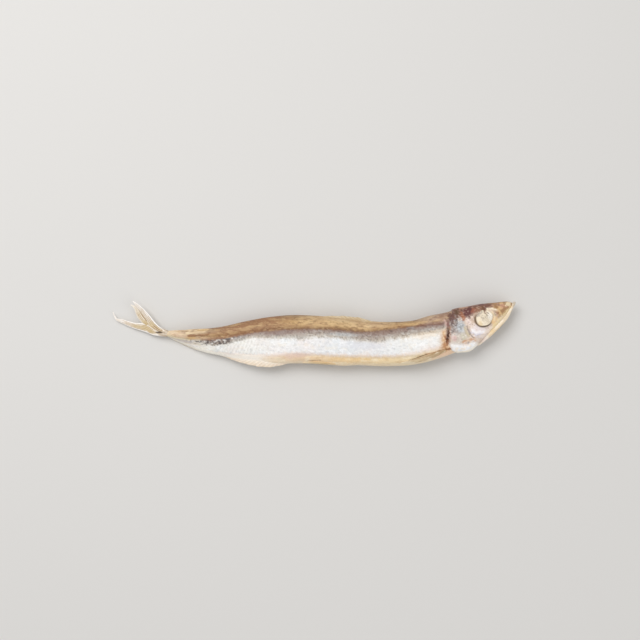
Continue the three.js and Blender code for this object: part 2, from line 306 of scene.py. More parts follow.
def head_relief(spot):
    behind, height = spot.behind, spot.height
    forward = gill_edge(height) - behind
    inward = CHEEK_REAR - behind
    ribs = np.sin(2.6 * (behind + 0.55 * height)) * within(height, -9, -6.5, 0.8)
    lines = sum(rise * bump(from_line(spot, route), 0, width) for route, rise, width in HEAD_RIDGES)
    return lines + raised(
        HEAD_RELIEF,
        cover=smooth(forward, 0, 0.5) * fall(forward, 2, 9),
        slit=bump(forward, -0.35, 0.4) * within(height, -6, 5.5, 2),
        cheek=smooth(inward, 0, 0.9) * fall(inward, 2, 8) * within(height, -6.5, 3, 1.5),
        plate=bump(height - LOWER_PLATE(behind), 0, 0.5) * within(behind, 20.5, 31, 1.5),
        orbit=bump(eye_gap(spot), 1.03, 0.11),
        ribs=ribs * within(behind, 18, 29, 3),
    )


def trunk_relief(spot, points):
    place, share = spot.place, spot.share
    behind_head = smooth(place, 0.2, 0.24)
    return raised(
        TRUNK_RELIEF,
        waves=np.sin(5.3 * 2 * np.pi * place + 2.2 * share) * behind_head,
        wrinkles=layered_noise(points * [0.2, 1, 1], 1.5, 5) * behind_head,
        dents=layered_noise(points * [0.6, 1, 1], 7, 11, 2) * behind_head,
        furrow=bump(share, 0.42, 0.13) * within(place, 0.22, 0.93, 0.04),
        crease=bump(share, -0.66, 0.09) * within(place, 0.26, 0.64, 0.06),
        hollow=bump(share, -0.86, 0.12) * within(place, 0.64, 0.88, 0.06),
    )


def lie_on_floor(points):
    points[..., 2] = np.maximum(points[..., 2], 0)
    return points


def skin(place, turn):
    """Points of the finished skin on the floor, the ways out, and where each lies."""
    points, out, spot = bare_skin(place, turn)
    fine = FINE_RELIEF * layered_noise(points, 0.9, 3) * smooth(spot.behind, 0.5, 4)
    relief = head_relief(spot) + trunk_relief(spot, points) + fine
    fade = np.minimum(1, np.abs(spot.side) / RELIEF_FADE)
    return lie_on_floor(points + times(out, relief * fade)), out, spot


def linear(colour):
    """An sRGB colour from 0 to 255, as linear shares."""
    shares = np.asarray(colour, float) / 255
    return np.where(shares <= 0.04045, shares / 12.92, ((shares + 0.055) / 1.055) ** 2.4)


class Paint:
    """Colours laid over one another at the points of a piece, with edges frayed by noise."""

    def __init__(self, points, colour):
        self.points = points
        self.colours = np.broadcast_to(linear(colour), points.shape).copy()
        self.fray = layered_noise(points, 1.3, 21)
        self.drift = layered_noise(points, 6, 31)
        self.ragged = 0.5 * self.fray + 0.7 * layered_noise(points, 0.5, 17, 2)

    def over(self, colour, mask):
        self.blend(linear(colour), mask)

    def blend(self, colours, mask):
        self.colours += (colours - self.colours) * np.clip(mask, 0, 1)[..., None]

    def flecks(self, colour, mask, size, seed, stretch=1, rarity=0.1):
        """Seeded flecks of about a size in millimetres, drawn out along the fish by the stretch."""
        spots = layered_noise(self.points * [1 / stretch, 1, 1], size, seed, 2)
        self.over(colour, mask * smooth(spots, rarity, rarity + 0.35))

    def patches(self, spot, rows, frayed=0.8):
        """Soft oval patches: colour, where each lies, half sizes and strength."""
        for colour, at, size, strength in rows:
            gap = np.hypot((spot.behind - at[0]) / size[0], (spot.height - at[1]) / size[1])
            self.over(colour, strength * fall(gap + frayed * self.ragged, 0.5, 1.5))

    def lines(self, spot, rows, frayed=0.8):
        """Lines: colour, route, half width and strength."""
        for colour, route, width, strength in rows:
            gap = from_line(spot, route) / width + frayed * self.ragged
            self.over(colour, strength * fall(gap, 0.2, 1.2))


def shaded(at, *stops):
    """Linear colours at places along the fish, between (place, colour) stops."""
    places, colours = zip(*stops)
    return np.stack([np.interp(at, places, shares) for shares in linear(colours).T], -1)


def paint_silver(paint, spot):
    """Satin silver with faint tints, and slanting rows of scales towards the tail."""
    place, share = spot.place, spot.share
    paint.colours[:] = shaded(
        place,
        (0.2, (240, 237, 232)), (0.3, (239, 238, 235)), (0.5, (233, 231, 231)), (0.66, (241, 238, 236)),
        (0.8, (239, 236, 227)), (0.9, (240, 236, 227)), (1, (226, 218, 202)),
    )
    paint.over((222, 231, 235), 0.4 * smooth(paint.drift, 0, 0.5))
    paint.over((243, 230, 226), 0.4 * smooth(-paint.drift, 0, 0.5))
    paint.flecks((206, 207, 209), 0.45, 0.7, 101, 1.6)
    paint.flecks((255, 255, 255), 0.5, 0.6, 102, 1.4)
    paint.flecks((240, 228, 208), 0.3, 1.4, 103, 1, 0.2)
    rows = np.sin(2 * np.pi * (spot.behind + 0.44 * spot.height) / 1.5 + 4 * paint.fray)
    scaled = within(place, 0.7, 0.88, 0.06) * within(share, -0.75, 0.4, 0.2)
    paint.over((212, 212, 208), 0.4 * scaled * smooth(rows, 0, 0.9))
    paint.over((252, 252, 250), 0.4 * scaled * smooth(-rows, 0.2, 0.9))


def paint_grey_band(paint, spot):
    """Speckled grey between the tan and the silver, mauve above and fading out below."""
    place, height = spot.place, spot.height
    edge = TAN_EDGE(place)
    down = (edge - height) / (edge - GREY_EDGE(place)) + 0.3 * paint.ragged + 0.25 * paint.drift
    tints = shaded(
        down,
        (0, (130, 101, 84)), (0.25, (149, 127, 116)), (0.5, (166, 151, 140)), (0.75, (182, 169, 155)),
        (1, (206, 198, 186)),
    )
    band = fall(down, 0.85, 1.25) * (1 - 0.8 * smooth(place, 0.86, 0.93))
    paint.blend(tints, 0.95 * band)
    paint.flecks((92, 76, 70), 0.6 * band, 0.5, 111)
    paint.flecks((226, 224, 218), 0.4 * band * smooth(down, 0.1, 0.5), 0.5, 112, 1.5, 0.15)
    # painted sheen: faint bluish streaks over the grey band
    paint.flecks((184, 190, 192), 0.2 * band, 2, 113, 2.5)


def paint_tan_back(paint, spot):
    """Golden tan, olive-brown towards the ridge, with a brown lower edge that frays into the grey."""
    place, height = spot.place, spot.height
    edge = TAN_EDGE(place) + 0.5 * paint.ragged
    tan = smooth(height, edge - 0.4, edge + 0.3)
    up = (height - edge) / np.maximum(spot.depth - edge, 0.5)
    tints = shaded(
        up,
        (0, (126, 94, 70)), (0.12, (148, 116, 82)), (0.3, (189, 153, 106)), (0.55, (187, 151, 104)),
        (0.78, (166, 135, 98)), (1, (140, 114, 87)),
    )
    paint.blend(tints, tan)
    golden = tan * smooth(up, 0.15, 0.5)
    paint.over((220, 190, 144), 0.58 * golden * within(place, 0.335, 0.65, 0.07))
    paint.over((228, 204, 168), 0.4 * golden * bump(place, 0.41, 0.06))
    paint.over((144, 102, 74), 0.7 * tan * within(place, 0.63, 0.89, 0.07))
    paint.over((170, 146, 138), 0.6 * tan * fall(place, 0.23, 0.31))
    paint.over((204, 176, 150), 0.8 * tan * smooth(place, 0.83, 0.94))
    paint.flecks((112, 78, 54), 0.55 * tan, 0.4, 121, 2.5)
    paint.flecks((232, 202, 154), 0.28 * tan, 0.35, 122, 2.5, 0.15)
    paint.flecks((140, 100, 70), 0.4 * tan, 0.8, 123, 7)
    paint.flecks((222, 190, 140), 0.3 * tan, 0.8, 124, 7)
    paint.flecks((150, 106, 76), 0.25 * tan, 3, 125, 1.5)


def paint_belly(paint, spot):
    """Yellow under the ribs and cream by the vent, with a pink upper edge and a pale keel."""
    place, share = spot.place, spot.share
    top = CREAM_BELLY(place) + 0.1 * paint.ragged
    down = (top - share) / (1 + top)
    tints = shaded(
        place,
        (0.2, (240, 210, 178)), (0.3, (230, 210, 170)), (0.42, (238, 211, 166)), (0.55, (238, 210, 170)),
        (0.61, (232, 204, 170)), (0.68, (240, 216, 186)), (0.76, (250, 238, 222)), (0.86, (244, 236, 218)),
        (1, (214, 198, 166)),
    )
    belly = smooth(down, -0.2, 0.35)
    paint.over((238, 220, 210), 0.7 * smooth(down, -0.4, 0.0))
    paint.blend(tints, 0.95 * belly)
    gold = belly * within(place, 0.3, 0.58, 0.06)
    paint.flecks((222, 184, 124), 0.45 * gold * bump(down, 0.4, 0.3), 2.4, 131, 2.5, -0.1)
    paint.flecks((250, 236, 208), 0.5 * belly, 1, 132, 2.5)
    paint.flecks((208, 172, 126), 0.35 * belly, 1.1, 133, 2, 0.15)
    paint.over((244, 230, 204), 0.6 * smooth(down + 0.2 * paint.ragged, 0.6, 0.95))
    # partly painted light: near white over the rear belly, paler than its own cream to offset the shade at
    # the lower edge
    paint.over((255, 248, 238), 0.85 * smooth(down, -0.3, 0.3) * within(place, 0.7, 0.95, 0.05))


def paint_tail_base(paint, spot):
    """Dark specks and pale streaks that run together where the trunk thins to the tail."""
    place, height = spot.place, spot.height
    below = TAN_EDGE(place) - height
    speckled = within(place, 0.75, 0.96, 0.06) * within(below, -0.3, 2.8, 0.8)
    paint.flecks((72, 60, 58), 0.85 * speckled, 0.6, 141, 1, -0.05)
    paint.flecks((240, 238, 232), 0.7 * speckled, 0.7, 142, 1.5)
    rear = smooth(place, 0.86, 0.95)
    paint.over((234, 213, 180), 0.6 * smooth(place, 0.93, 0.98))
    paint.flecks((238, 220, 184), 0.7 * rear, 0.8, 143, 4, 0)
    paint.flecks((176, 138, 98), 0.6 * rear * smooth(height, -0.5, 0.5), 0.8, 144, 4)
    paint.flecks((196, 186, 182), 0.6 * rear * smooth(-height, 0, 1), 0.8, 145, 4, 0.05)


# Patches of colour on the head: colour, (behind, over the axis), half sizes, strength, all in millimetres.
HEAD_PATCHES = (
    ((206, 180, 158), (16.8, 1.4), (4.4, 3), 0.8),  # peach behind the eye
    ((196, 190, 186), (25.3, 0.6), (3.6, 4), 0.9),  # silver of the gill cover
    ((182, 189, 194), (24, 0.9), (1.6, 2.4), 0.75),  # bluest part of it
    ((146, 128, 124), (27.6, 2.2), (1.3, 2.2), 0.8),  # its mauve rear edge
    ((212, 200, 187), (26.4, -3.3), (3.8, 2), 0.85),  # its duller lower part
    ((206, 202, 174), (24.4, -3.4), (1.2, 1.6), 0.6),
    ((226, 188, 184), (28.4, -2), (1, 1), 0.7),  # pink flush by the gill slit
    ((241, 229, 228), (18, -3.6), (4.4, 3), 0.95),  # pale cheek
    ((242, 224, 216), (20.4, 1.4), (1, 1.8), 0.75),  # pale corner over the cheek
    ((230, 196, 164), (23, -5.8), (2.4, 1.3), 0.85),  # orange stain under the gill cover
    ((126, 76, 46), (24, -6.1), (0.5, 0.5), 0.95),
    ((196, 138, 100), (24.8, -4.9), (0.9, 0.5), 0.7),
    ((192, 136, 100), (21.8, -5.6), (1, 0.6), 0.6),
    ((206, 160, 124), (21.2, -6.6), (0.9, 0.6), 0.6),
    ((98, 54, 54), (18.8, 5.2), (2.5, 1.8), 0.95),  # maroon patch behind the eye
    ((160, 98, 76), (16.2, 4.7), (1.4, 0.9), 0.8),
    ((172, 108, 74), (21.5, 4.8), (0.8, 1.7), 0.85),
    ((98, 76, 54), (22.8, 6.6), (1.1, 0.9), 0.8),
    ((142, 102, 78), (14.6, 4.4), (1.8, 0.7), 0.7),
    ((204, 166, 140), (19, 7.4), (2.2, 0.5), 0.6),  # pale strip along the crown
    ((102, 68, 62), (26.2, 5.4), (1.4, 2.4), 0.9),  # purple-brown end of the gill cover
    ((80, 60, 56), (24.8, 4.1), (0.6, 0.5), 0.8),
    ((208, 174, 162), (29.4, 4.6), (0.7, 1.6), 0.7),
    ((238, 200, 146), (10.6, -2.4), (1.7, 2.2), 0.85),  # orange in front of the eye
    ((204, 154, 132), (5, 1.3), (1.3, 0.9), 0.6),  # flush on the snout
    ((148, 108, 70), (7.4, 1.8), (1, 0.7), 0.7),
    ((238, 220, 184), (1.9, 1), (1.3, 0.9), 0.85),  # pale tip of the snout
    ((118, 98, 68), (9.2, -0.5), (0.55, 0.6), 0.8),  # nostril
    ((112, 76, 52), (12.4, 3.4), (0.8, 1.1), 0.85),  # dark fold over the eye
)

# Lines on the head: colour, route, half width, strength.
HEAD_LINES = (
    ((226, 222, 232), SWIRL, 0.8, 0.7),
    # painted highlight along the upper side of the swirl's ridge
    ((254, 250, 250), shifted(SWIRL, 0.8), 0.6, 0.8),
    ((206, 190, 154), [(22.6, 0.2), (22.9, -1.8), (22.6, -3.8)], 0.7, 0.75),  # yellow strip behind the cheek
    ((120, 100, 82), PREOPERCLE[1:5], 0.42, 0.65),
    ((140, 94, 86), [(28.3, 4.8), (29.3, 2.4)], 0.7, 0.8),
    ((146, 92, 68), GILL_SLIT, 1.2, 0.7),
    # painted shade: a dark line in the gap of the gill slit
    ((66, 34, 24), GILL_SLIT, 0.6, 1),
    ((150, 96, 60), [(31, -2), (31.6, -3.4)], 0.5, 0.7),
    ((246, 224, 176), [(3, -1.4), (6.5, -2.8), (10, -4.2), (13.4, -5.4)], 1, 0.8),  # pale upper lip
    ((248, 230, 214), [(13, -4.8), (15.2, -5.5), (17.4, -6)], 0.9, 0.8),  # pale end of the jaw
    ((114, 72, 64), [(13, 5.8), (10.7, 4.5), (9.2, 4)], 0.45, 0.7),
    ((248, 234, 208), [(11, 3), (9.3, 2.3), (7.5, 0.9)], 0.5, 0.9),  # pale rim over the eye
    ((240, 222, 192), [(9.6, 1), (9.4, -0.9), (10.2, -2.4)], 0.5, 0.6),
)


def paint_crown(paint, spot, head):
    """Brown, maroon and orange mottling over the skull, and a tan snout."""
    behind, height = spot.behind, spot.height
    crown = head * smooth(spot.share + 0.25 * paint.ragged, 0.46, 0.66)
    paint.over((122, 87, 74), crown)
    paint.flecks((98, 64, 56), 0.65 * crown, 1.3, 151, 1.5, 0.05)
    paint.flecks((168, 118, 86), 0.5 * crown, 1, 152, 1.5)
    paint.flecks((200, 164, 146), 0.55 * crown, 0.9, 153, 2, 0.2)
    snout = fall(behind + 2 * paint.ragged, 7, 10.5) * smooth(height, -3, -1.8)
    paint.over((168, 130, 93), snout)
    paint.flecks((226, 192, 140), 0.8 * snout, 1.1, 154, 2, 0.05)
    paint.flecks((134, 94, 66), 0.7 * snout, 0.9, 155, 2)
    paint.flecks((218, 172, 150), 0.6 * snout, 1.2, 156, 1, 0.2)


def paint_gill_cover(paint, spot, head):
    """Fine specks on the silver of the gill cover, and the bright plate below it."""
    behind, height = spot.behind, spot.height
    cover = within(behind, 22.3, 29.5, 1) * within(height, -1.8, 5.2, 1.2)
    paint.flecks((80, 64, 60), 0.7 * cover * (0.35 + 0.65 * smooth(height, -1, 3.5)), 0.45, 161)
    paint.flecks((240, 240, 240), 0.35 * cover, 0.5, 162, 1, 0.15)
    paint.flecks((112, 98, 94), 0.5 * cover, 1, 168, 1, 0.05)
    paint.flecks((236, 238, 240), 0.45 * cover, 0.9, 169)
    dull = within(behind, 22.3, 30, 1) * within(height, -6, -1, 1)
    paint.flecks((246, 236, 226), 0.6 * dull, 0.8, 163)
    paint.flecks((176, 162, 146), 0.5 * dull, 0.8, 164, 1, 0.15)
    plate = LOWER_PLATE(behind) + 0.9 * paint.ragged
    under = head * smooth(plate - height, -1.5, 1.2) * smooth(behind, 19, 22)
    paint.over((252, 250, 249), under)
    paint.flecks((230, 234, 243), 0.6 * under, 1.6, 165, 1, 0)
    paint.flecks((250, 234, 212), 0.65 * under, 1.1, 166, 1, 0.05)
    paint.flecks((220, 214, 210), 0.35 * under, 0.6, 167, 1, 0.15)
    paint.over((250, 240, 214), 0.6 * under * smooth(-spot.share + 0.1 * paint.ragged, 0.84, 0.98))


def paint_head(paint, spot):
    behind, height = spot.behind, spot.height
    head = smooth(gill_edge(height) - behind, -0.3, 0.3)
    paint.over((224, 204, 186), head)
    paint.flecks((240, 224, 214), 0.7 * head, 1, 171)
    paint.flecks((192, 162, 140), 0.5 * head, 0.8, 172, 1, 0.15)
    paint_crown(paint, spot, head)
    paint.patches(spot, HEAD_PATCHES, frayed=1.2)
    paint_gill_cover(paint, spot, head)
    crown = head * smooth(spot.share, 0.5, 0.62)
    paint.flecks((88, 58, 50), 0.5 * crown, 0.5, 174, 1.5)
    paint.flecks((220, 188, 170), 0.35 * crown, 0.45, 175, 1.5, 0.2)
    cheek = within(behind, 13, 22, 2) * within(height, -6, 3.8, 1.5)
    paint.flecks((140, 108, 98), 0.6 * cheek, 0.45, 176, 1, 0.2)
    paint.flecks((250, 236, 226), 0.5 * cheek, 0.5, 178, 1, 0.15)
    margin = bump(gill_edge(height) - behind + 0.8 * paint.ragged, -1.7, 1.5) * within(height, -8, 3.5, 2)
    paint.over((212, 170, 128), margin)
    paint.flecks((246, 222, 188), 0.6 * margin, 0.9, 177)
    paint.flecks((176, 118, 78), 0.75 * margin, 0.8, 173)
    paint.lines(spot, HEAD_LINES, frayed=1.1)
    # painted shade: a dark ring in the groove round the eye, strongest behind and below it
    rear_or_low = smooth(behind - EYE_AT[0] - 0.8 * (height - EYE_AT[1]), -0.5, 2.5)
    paint.over((94, 70, 40), 0.95 * rear_or_low * bump(eye_gap(spot), 1.03, 0.12))


# Patches of colour on the trunk, given as on the head.
TRUNK_PATCHES = (
    ((198, 205, 208), (74, 3.2), (5.5, 0.8), 0.45),  # painted bluish sheen under the tan
    ((216, 217, 223), (64.5, -0.8), (8, 1.6), 0.6),  # painted bluish sheen on the flank below it
    ((134, 108, 98), (99.5, 3.4), (6.5, 0.9), 0.5),  # mauve under the tan
    ((236, 212, 180), (39, 2.3), (8, 1.3), 0.4),  # cream tint below the grey
    ((226, 196, 180), (93, -6), (5, 1.1), 0.65),  # pink flush over the vent
    ((206, 180, 146), (37, 9.4), (5, 0.7), 0.35),  # painted highlight along the ridge of the nape
    ((204, 180, 144), (74, 9.4), (10, 0.9), 0.4),  # pale film by the dorsal fin
    ((224, 196, 168), (140.2, 1.6), (3.6, 0.8), 0.7),  # tan and gold at the tail's root
    ((212, 174, 120), (136.4, 1.2), (2.2, 0.8), 0.7),
    ((206, 196, 190), (139.5, -1.1), (5, 0.8), 0.7),
)

# Folds and streaks on the trunk, given as the lines on the head.
TRUNK_LINES = (
    ((140, 88, 48), BREAST_FIN_LINE[:2], 0.6, 0.9),
    ((172, 122, 76), BREAST_FIN_LINE[1:3], 0.4, 0.8),
    ((122, 94, 58), BREAST_FIN_LINE[2:], 0.4, 0.8),
    ((242, 206, 176), [(31.6, -7.2), (38, -7)], 1, 0.8),  # pink flap behind the gill cover
    ((146, 108, 72), [(82.6, -8), (88.2, -8.4)], 0.3, 0.55),  # fold over the pelvic fin
    ((112, 68, 56), [(30.6, 5), (36, 6.2), (42, 6.8)], 0.6, 0.6),
    ((228, 204, 164), [(138.5, 3), (134.6, 3.7), (131, 4.3)], 0.4, 0.6),  # pale root of the adipose fin
    ((146, 102, 70), [(137.5, 2.3), (129.5, 3.2)], 0.6, 0.8),
    ((242, 228, 192), [(148, 0.3), (142, 0.2), (137, 0.1)], 0.45, 0.8),
    # partly painted light: a white streak along the peduncle's lower edge, paler than its skin to offset the
    # shade there
    ((248, 243, 230), [(146, -1.8), (139, -3), (130, -4.4), (124, -5.4)], 0.9, 0.85),
)


def paint_marks(paint, spot):
    paint.patches(spot, TRUNK_PATCHES)
    paint.lines(spot, TRUNK_LINES)


def ring_faces(rings, sides):
    """Quads between rings of points, and a fan to a middle point at each end."""
    j = np.arange(sides)
    k = (j + 1) % sides
    row = np.arange(rings - 1)[:, None] * sides
    quads = np.stack([row + j, row + k, row + sides + k, row + sides + j], -1)
    end = (rings - 1) * sides
    first = np.stack([np.full(sides, rings * sides), k, j], -1)
    last = np.stack([np.full(sides, rings * sides + 1), end + j, end + k], -1)
    return quads.reshape(-1, 4).tolist() + first.tolist() + last.tolist()


def with_ends(values, parts):
    """Values at the points of rings as one list, with one more for the middle of each end."""
    values = values.reshape(*values.shape[:2], parts)
    return np.concatenate([values.reshape(-1, parts), [values[0].mean(0), values[-1].mean(0)]])


def add_object(name, data):
    made = bpy.data.objects.new(name, data)
    bpy.context.scene.collection.objects.link(made)
    return made


def make_piece(name, rings, material, paint, **masks):
    """A closed mesh through rings of points in millimetres, with its paint and masks."""
    rings = lie_on_floor(rings)
    mesh = bpy.data.meshes.new(name)
    mesh.from_pydata((with_ends(rings, 3) * MM).tolist(), [], ring_faces(*rings.shape[:2]))
    mesh.shade_smooth()
    colours = mesh.attributes.new("paint", "FLOAT_COLOR", "POINT")
    rgba = np.column_stack([with_ends(paint.colours, 3), np.ones(len(mesh.vertices))])
    colours.data.foreach_set("color", rgba.astype(np.float32).ravel())
    for mask, values in masks.items():
        attribute = mesh.attributes.new(mask, "FLOAT", "POINT")
        attribute.data.foreach_set("value", with_ends(values, 1).astype(np.float32).ravel())
    mesh.materials.append(material)
    piece = add_object(name, mesh)
    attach(piece, "root")
    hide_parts("capelin")


def connect(tree, node, inputs):
    """Inputs of a shader node, each from a plain value or another node's output."""
    for key, value in inputs.items():
        if isinstance(value, bpy.types.NodeSocket):
            tree.links.new(value, node.inputs[key])
        else:
            node.inputs[key].default_value = value


def add(tree, kind, inputs, **settings):
    made = tree.nodes.new("ShaderNode" + kind)
    for name, value in settings.items():
        setattr(made, name, value)
    connect(tree, made, inputs)
    return made


def new_material(name):
    material = bpy.data.materials.new(name)
    material.use_nodes = True
    tree = material.node_tree
    return material, tree, tree.nodes["Principled BSDF"]


def attribute(tree, name, output="Fac"):
    return add(tree, "Attribute", {}, attribute_name=name).outputs[output]


def in_millimetres(tree, stretch=(1, 1, 1)):
    place = add(tree, "TexCoord", {}).outputs["Object"]
    scale = tuple(s / MM for s in stretch)
    return add(tree, "VectorMath", {0: place, 1: scale}, operation="MULTIPLY").outputs[0]


def mapped(tree, value, low, high, to_low, to_high):
    inputs = {"Value": value, "From Min": low, "From Max": high, "To Min": to_low, "To Max": to_high}
    return add(tree, "MapRange", inputs).outputs[0]


def math(tree, operation, *values):
    return add(tree, "Math", dict(enumerate(values)), operation=operation).outputs[0]


def noise_texture(tree, where, per_mm, detail):
    inputs = {"Vector": where, "Scale": per_mm, "Detail": detail, "Roughness": 0.55}
    return add(tree, "TexNoise", inputs).outputs["Fac"]


def shaded_paint(tree, shade):
    inputs = {"Value": shade, "Color": attribute(tree, "paint", "Color")}
    return add(tree, "HueSaturation", inputs).outputs[0]


def link_surface(tree, shader, colour, roughness, height, strength, depth):
    """Colour and roughness of a shader, and bumps of a depth in millimetres."""
    bumps = add(tree, "Bump", {"Strength": strength, "Distance": depth * MM, "Height": height})
    connect(tree, shader, {"Base Color": colour, "Roughness": roughness, "Normal": bumps.outputs[0]})


def speckled(tree, where, colour):
    """Dark specks over a colour, where the skin's mask has them."""
    specks = mapped(tree, noise_texture(tree, where, 2.2, 2), 0.54, 0.68, 0, 0.6)
    specks = math(tree, "MULTIPLY", specks, attribute(tree, "speckled"))
    inputs = {0: specks, 6: colour, 7: (0.16, 0.12, 0.105, 1)}
    return add(tree, "Mix", inputs, data_type="RGBA").outputs[2]


def skin_material():
    material, tree, shader = new_material("dried_skin")
    where = in_millimetres(tree)
    grain = noise_texture(tree, where, 2.2, 4)
    streaks = noise_texture(tree, in_millimetres(tree, (0.25, 1, 1)), 1.6, 3)
    laid_out = in_millimetres(tree, (0.8, 1.2, 1.2))
    scales = add(tree, "TexVoronoi", {"Vector": laid_out, "Scale": 1.3, "Randomness": 0.8})
    scaly = attribute(tree, "scaly")
    shade = math(tree, "MULTIPLY_ADD", grain, 0.3, 0.85)
    shade = math(tree, "MULTIPLY_ADD", math(tree, "SUBTRACT", streaks, 0.5), 0.14, shade)
    lone = add(tree, "SeparateColor", {0: scales.outputs["Color"]}).outputs[0]
    lone = math(tree, "MULTIPLY", math(tree, "SUBTRACT", lone, 0.5), scaly)
    shade = math(tree, "MULTIPLY_ADD", lone, 0.06, shade)
    colour = speckled(tree, where, shaded_paint(tree, shade))
    rough = math(tree, "MULTIPLY_ADD", attribute(tree, "gloss"), -0.22, 0.42)
    rough = math(tree, "MULTIPLY_ADD", grain, 0.2, rough)
    height = math(tree, "MULTIPLY", scales.outputs["Distance"], math(tree, "MULTIPLY", scaly, 0.5))
    height = math(tree, "ADD", math(tree, "MULTIPLY_ADD", grain, 0.5, height), streaks)
    link_surface(tree, shader, colour, rough, height, strength=0.5, depth=0.15)
    connect(tree, shader, {"Specular IOR Level": 0.28})
    return material


def film_material(name, per_mm, detail, roughness, strength):
    """Dried film with a fine grain in its shade, its gloss and its surface."""
    material, tree, shader = new_material(name)
    grain = noise_texture(tree, in_millimetres(tree), per_mm, detail)
    colour = shaded_paint(tree, math(tree, "MULTIPLY_ADD", grain, 0.3, 0.85))
    rough = mapped(tree, grain, 0.3, 0.7, *roughness)
    link_surface(tree, shader, colour, rough, grain, strength, depth=0.1)
    return material


def skin_masks(spot):
    """Where the skin has scales, dark specks and gloss."""
    place, share, behind, height = spot.place, spot.share, spot.behind, spot.height
    trunk = smooth(behind, 29, 33)
    below_tan = fall(height - TAN_EDGE(place), -0.5, 0.5)
    grey = smooth(height - GREY_EDGE(place), -1, 1) * below_tan
    tail = smooth(place, 0.74, 0.84) * within(share, -0.5, 0.5, 0.3)
    gill_cover = within(behind, 22.5, 29, 1) * within(height, -1, 4.5, 1)
    return dict(
        scaly=trunk * below_tan,
        speckled=np.maximum(np.maximum(0.6 * grey * trunk, 0.5 * tail), 0.35 * gill_cover),
        gloss=below_tan * trunk * smooth(share, -0.75, -0.45) * (1 - 0.6 * grey),
    )


def make_skin(material):
    head = np.linspace(HEAD_SHARE, 0, HEAD_STATIONS + 1)
    trunk = np.linspace(1, HEAD_SHARE, TRUNK_STATIONS, endpoint=False)
    place = np.concatenate([trunk, head])[:, None]
    turn = np.linspace(0, 2 * np.pi, SECTION_SIDES, endpoint=False)[None, :]
    points, _, spot = skin(place, turn)
    paint = Paint(points, (236, 232, 228))
    trunk_layers = (paint_silver, paint_grey_band, paint_tan_back, paint_belly, paint_tail_base)
    for paint_layer in (*trunk_layers, paint_head, paint_marks):
        paint_layer(paint, spot)
    make_piece("skin", points, material, paint, **skin_masks(spot))


def on_skin(behind, height, side, proud):
    """Points over the bare skin at places given in millimetres, raised by so much."""
    place = np.clip(behind / BODY_LENGTH, 0.001, 1)
    s = section(place)
    share = np.clip(height / np.where(height > 0, s.back_depth, s.belly_depth), -0.999, 0.999)
    points, out, _ = bare_skin(place, side * np.arccos(share))
    return points + times(out, proud)


# Rings of an eye, in shares of its radii: over it, and past its rim down to two sunk into the head.
EYE_SIDES = 72
EYE_RINGS = np.concatenate([np.linspace(0.02, 1, 34), [1.04, 1.0, 0.6]])
EYE_SUNK = 0.9

# Marks on an eye, in shares of its radii: patches, faint arcs, the dark lid and two creases below it.
EYE_PATCHES = (
    # painted shade under the lid, at the eye's upper rear
    ((160, 146, 134), (0.4, 0.74), (0.45, 0.26), 0.8),
    ((234, 206, 156), (0.66, -0.45), (0.25, 0.35), 0.6),
    ((254, 248, 236), (-0.64, -0.1), (0.25, 0.5), 0.9),
)
EYE_ARC = np.array([(-np.cos(angle), np.sin(angle)) for angle in (-1.6, -0.9, -0.2, 0.5, 1.1)])
EYE_ARCS = [((188, 170, 144), EYE_ARC * reach - 0.1, 0.05, 0.6) for reach in (0.3, 0.48, 0.66)]
EYE_LID = ((104, 74, 50), [(-0.5, 1.0), (-0.36, 0.5)], 0.2, 0.95)
EYE_CREASES = (
    ((112, 90, 68), [(-0.36, 0.3), (-0.4, 0.1)], 0.08, 0.8),
    ((116, 92, 70), [(-0.6, 0.45), (-0.62, 0.28)], 0.07, 0.8),
)


def eye_relief(r, angle, forward, up):
    """A low dome in a raised rim, with fine folds and a notch where the lid dips in."""
    rim = (0.12 + 0.06 * np.sin(3 * angle)) * bump(r, 0.9, 0.07)
    dome = 0.5 * np.sqrt(np.clip(1 - (r / 0.95) ** 2, 0, 1)) - 0.16 * bump(r, 0, 0.4)
    notch = bump(forward, 0.27 + 0.22 * up, 0.14) * smooth(up, 0.28, 0.55)
    folds = 0.06 * np.cos(11 * np.hypot(forward + 0.25, up - 0.1)) * fall(r, 0.6, 0.85)
    return 0.1 + rim + dome + folds - 0.6 * notch - 0.4 * smooth(r, 0.93, 1.04)


def paint_eye(points, r, forward, up):
    """Clouded cream with a duller middle, the marks, and painted shade as a dark ring below and behind."""
    spot = SimpleNamespace(behind=-forward, height=up)
    paint = Paint(points, (244, 229, 204))
    centre = fall(np.hypot(forward - 0.08, up) + 0.2 * paint.ragged, 0.3, 0.6)
    paint.over((208, 194, 172), 0.6 * centre)
    paint.flecks((146, 130, 112), 0.6 * centre, 0.4, 185)
    paint.flecks((244, 232, 210), 0.5 * centre, 0.4, 186)
    paint.patches(spot, EYE_PATCHES)
    paint.lines(spot, EYE_ARCS)
    paint.lines(spot, [EYE_LID], frayed=0.4)
    paint.lines(spot, EYE_CREASES)
    # painted shade at the eye's rim, strongest behind and below
    ring = bump(r, 1.0, 0.1) * (0.1 + 0.85 * smooth(-forward - 0.8 * up, -0.3, 0.5))
    paint.over((98, 74, 42), ring)
    return paint


def make_eye(name, side, material):
    angle = np.linspace(0, 2 * np.pi, EYE_SIDES, endpoint=False)[None, :] * -side
    r, angle = np.broadcast_arrays(EYE_RINGS[:, None], angle)
    uneven = 1 + 0.035 * np.sin(2 * angle + 0.8) + 0.025 * np.sin(5 * angle + 2)
    forward, up = r * uneven * np.cos(angle), r * uneven * np.sin(angle)
    proud = eye_relief(r, angle, forward, up)
    proud[-2:] = -EYE_SUNK
    points = on_skin(EYE_AT[0] - EYE_RADII[0] * forward, EYE_AT[1] + EYE_RADII[1] * up, side, proud)
    make_piece(name, points, material, paint_eye(points, r, forward, up))


